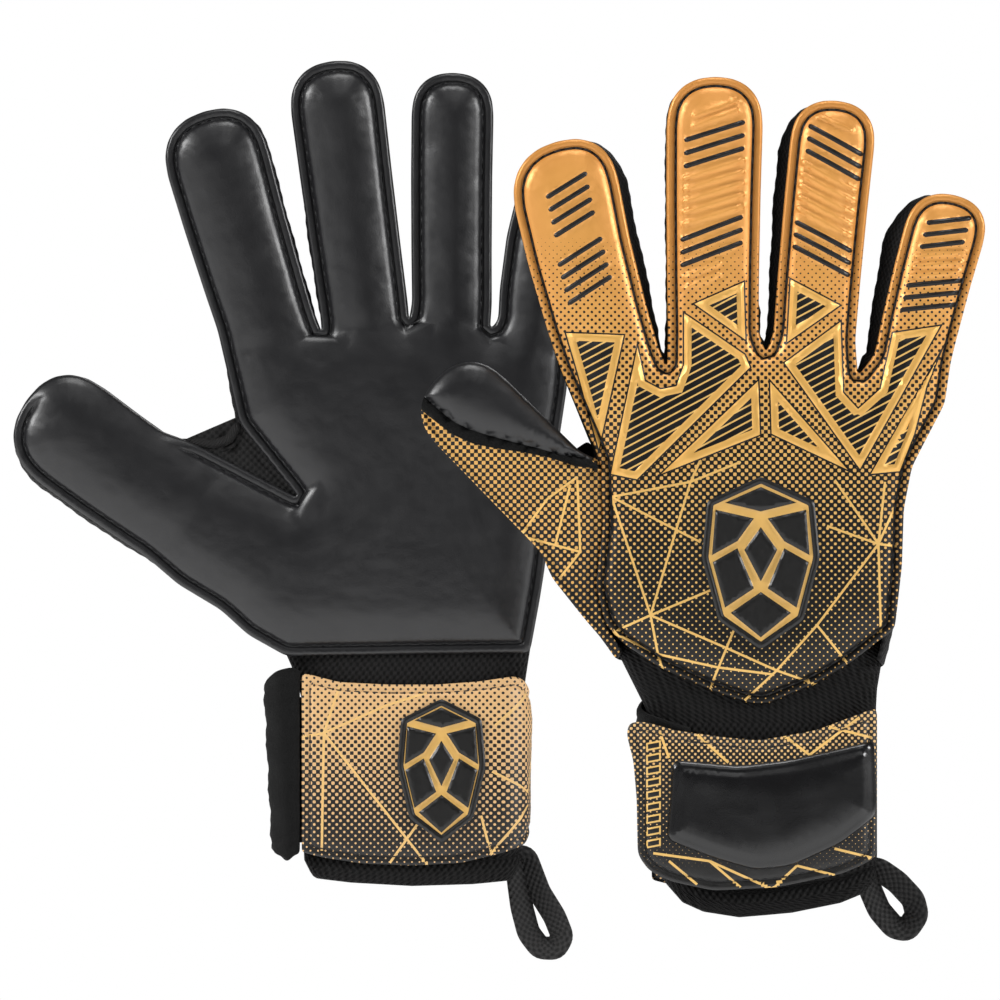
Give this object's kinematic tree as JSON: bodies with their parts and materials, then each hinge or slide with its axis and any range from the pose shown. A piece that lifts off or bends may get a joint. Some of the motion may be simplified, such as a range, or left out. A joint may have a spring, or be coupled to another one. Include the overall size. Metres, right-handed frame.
{
  "type": "goalkeeper gloves",
  "caption": "Pair of goalkeeper gloves with black latex palms, gold foam backhands, mesh gussets, elastic cuffs, wrap-round wrist straps and webbing pull loops.",
  "frame": {"origin": "middle of the left glove’s wrist opening, at the hem of its cuff", "axes": "+Z from wrist to fingertips, +X from the thumb side to the little finger side as seen from the front, -Y towards the viewer; the left glove shows its palm and the right one, in front, its back"},
  "size_m": [0.3169, 0.196, 0.3],
  "materials": {
    "palm_latex": "smooth satin latex foam",
    "backhand_foam": "embossed polyurethane foam skin",
    "gusset_mesh": "knitted mesh",
    "cuff_knit": "ribbed elastic knit",
    "strap_textile": "printed neoprene",
    "strap_pad_gloss": "glossy moulded",
    "fastener_hook": "hook tape",
    "fastener_pile": "brushed pile",
    "stitching": "polyester thread",
    "webbing": "woven webbing",
    "badge_rubber": "moulded"
  },
  "bodies": {
    "left_glove": {"left_palm_latex": "palm_latex", "left_backhand_panel": "backhand_foam", "left_little_side_gusset": "gusset_mesh", "left_heel_gusset": "gusset_mesh", "left_thumb_web_gusset": "gusset_mesh", "left_wrist_cuff": "cuff_knit", "left_strap_palm_part": "strap_textile", "left_closure_tab": "fastener_pile", "left_backhand_badge": "badge_rubber", "left_strap_badge": "badge_rubber"},
    "left_strap_flap": {"left_strap_flap": "strap_textile", "left_hook_patch": "fastener_hook", "left_strap_pad": "strap_pad_gloss"},
    "left_pull_loop": {"left_pull_loop": "webbing"},
    "left_thumb": {"left_thumb_latex": "palm_latex", "left_thumb_back": "backhand_foam", "left_thumb_gusset": "gusset_mesh"},
    "left_index": {"left_index_latex": "palm_latex", "left_index_back": "backhand_foam", "left_index_gusset": "gusset_mesh"},
    "left_middle": {"left_middle_latex": "palm_latex", "left_middle_back": "backhand_foam", "left_middle_gusset": "gusset_mesh"},
    "left_ring": {"left_ring_latex": "palm_latex", "left_ring_back": "backhand_foam", "left_ring_gusset": "gusset_mesh"},
    "left_pinky": {"left_pinky_latex": "palm_latex", "left_pinky_back": "backhand_foam", "left_pinky_gusset": "gusset_mesh"},
    "right_glove": {"right_palm_latex": "palm_latex", "right_backhand_panel": "backhand_foam", "right_little_side_gusset": "gusset_mesh", "right_heel_gusset": "gusset_mesh", "right_thumb_web_gusset": "gusset_mesh", "right_wrist_cuff": "cuff_knit", "right_strap_palm_part": "strap_textile", "right_closure_tab": "fastener_pile", "right_backhand_badge": "badge_rubber", "right_strap_badge": "badge_rubber"},
    "right_strap_flap": {"right_strap_flap": "strap_textile", "right_hook_patch": "fastener_hook", "right_strap_pad": "strap_pad_gloss"},
    "right_pull_loop": {"right_pull_loop": "webbing"},
    "right_thumb": {"right_thumb_latex": "palm_latex", "right_thumb_back": "backhand_foam", "right_thumb_gusset": "gusset_mesh"},
    "right_index": {"right_index_latex": "palm_latex", "right_index_back": "backhand_foam", "right_index_gusset": "gusset_mesh"},
    "right_middle": {"right_middle_latex": "palm_latex", "right_middle_back": "backhand_foam", "right_middle_gusset": "gusset_mesh"},
    "right_ring": {"right_ring_latex": "palm_latex", "right_ring_back": "backhand_foam", "right_ring_gusset": "gusset_mesh"},
    "right_pinky": {"right_pinky_latex": "palm_latex", "right_pinky_back": "backhand_foam", "right_pinky_gusset": "gusset_mesh"}
  },
  "joints": [
    {"name": "left_thumb_curl", "type": "hinge", "parent": "left_glove", "child": "left_thumb", "pos_m": [-0.073, -0.014, 0.1194], "axis": [0.5736, 0, 0.8192], "range_deg": [0, 40], "stiffness_Nm_per_rad": 0.2},
    {"name": "left_index_curl", "type": "hinge", "parent": "left_glove", "child": "left_index", "pos_m": [-0.0456, -0.014, 0.1763], "axis": [0.9588, 0, 0.284], "range_deg": [0, 60], "stiffness_Nm_per_rad": 0.2},
    {"name": "left_middle_curl", "type": "hinge", "parent": "left_glove", "child": "left_middle", "pos_m": [-0.0149, -0.014, 0.1815], "axis": [0.993, 0, 0.1184], "range_deg": [0, 60], "stiffness_Nm_per_rad": 0.2},
    {"name": "left_ring_curl", "type": "hinge", "parent": "left_glove", "child": "left_ring", "pos_m": [0.0132, -0.014, 0.1832], "axis": [0.9998, 0, -0.0209], "range_deg": [0, 60], "stiffness_Nm_per_rad": 0.2},
    {"name": "left_pinky_curl", "type": "hinge", "parent": "left_glove", "child": "left_pinky", "pos_m": [0.0399, -0.014, 0.1749], "axis": [0.9799, 0, -0.1994], "range_deg": [0, 60], "stiffness_Nm_per_rad": 0.2},
    {"name": "left_strap_open", "type": "hinge", "parent": "left_glove", "child": "left_strap_flap", "pos_m": [0.036, 0.0157, 0.0335], "axis": [0, 0, -1], "range_deg": [0, 120]},
    {"name": "left_pull_loop_swing", "type": "hinge", "parent": "left_glove", "child": "left_pull_loop", "pos_m": [0.0384, 0, 0.009], "axis": [0, -1, 0], "range_deg": [-10, 60], "stiffness_Nm_per_rad": 0.02},
    {"name": "right_thumb_curl", "type": "hinge", "parent": "right_glove", "child": "right_thumb", "pos_m": [0.0576, -0.146, 0.1158], "axis": [-0.7071, 0, -0.7071], "range_deg": [0, 40], "stiffness_Nm_per_rad": 0.2},
    {"name": "right_index_curl", "type": "hinge", "parent": "right_glove", "child": "right_index", "pos_m": [0.0669, -0.146, 0.1623], "axis": [-0.9659, 0, -0.2588], "range_deg": [0, 60], "stiffness_Nm_per_rad": 0.2},
    {"name": "right_middle_curl", "type": "hinge", "parent": "right_glove", "child": "right_middle", "pos_m": [0.0974, -0.146, 0.1718], "axis": [-1, 0, 0.0052], "range_deg": [0, 60], "stiffness_Nm_per_rad": 0.2},
    {"name": "right_ring_curl", "type": "hinge", "parent": "right_glove", "child": "right_ring", "pos_m": [0.1292, -0.146, 0.1708], "axis": [-0.9952, 0, 0.0976], "range_deg": [0, 60], "stiffness_Nm_per_rad": 0.2},
    {"name": "right_pinky_curl", "type": "hinge", "parent": "right_glove", "child": "right_pinky", "pos_m": [0.1594, -0.146, 0.1623], "axis": [-0.9724, 0, 0.2334], "range_deg": [0, 60], "stiffness_Nm_per_rad": 0.2},
    {"name": "right_strap_open", "type": "hinge", "parent": "right_glove", "child": "right_strap_flap", "pos_m": [0.1501, -0.1757, 0.0273], "axis": [0, 0, 1], "range_deg": [0, 120]},
    {"name": "right_pull_loop_swing", "type": "hinge", "parent": "right_glove", "child": "right_pull_loop", "pos_m": [0.1525, -0.16, 0.0028], "axis": [0, -1, 0], "range_deg": [-10, 60], "stiffness_Nm_per_rad": 0.02},
    {"name": "right_glove_pull_off", "type": "slide", "parent": "left_glove", "child": "right_glove", "axis": [0, 0, 1], "range_m": [0, 0.06]}
  ]
}
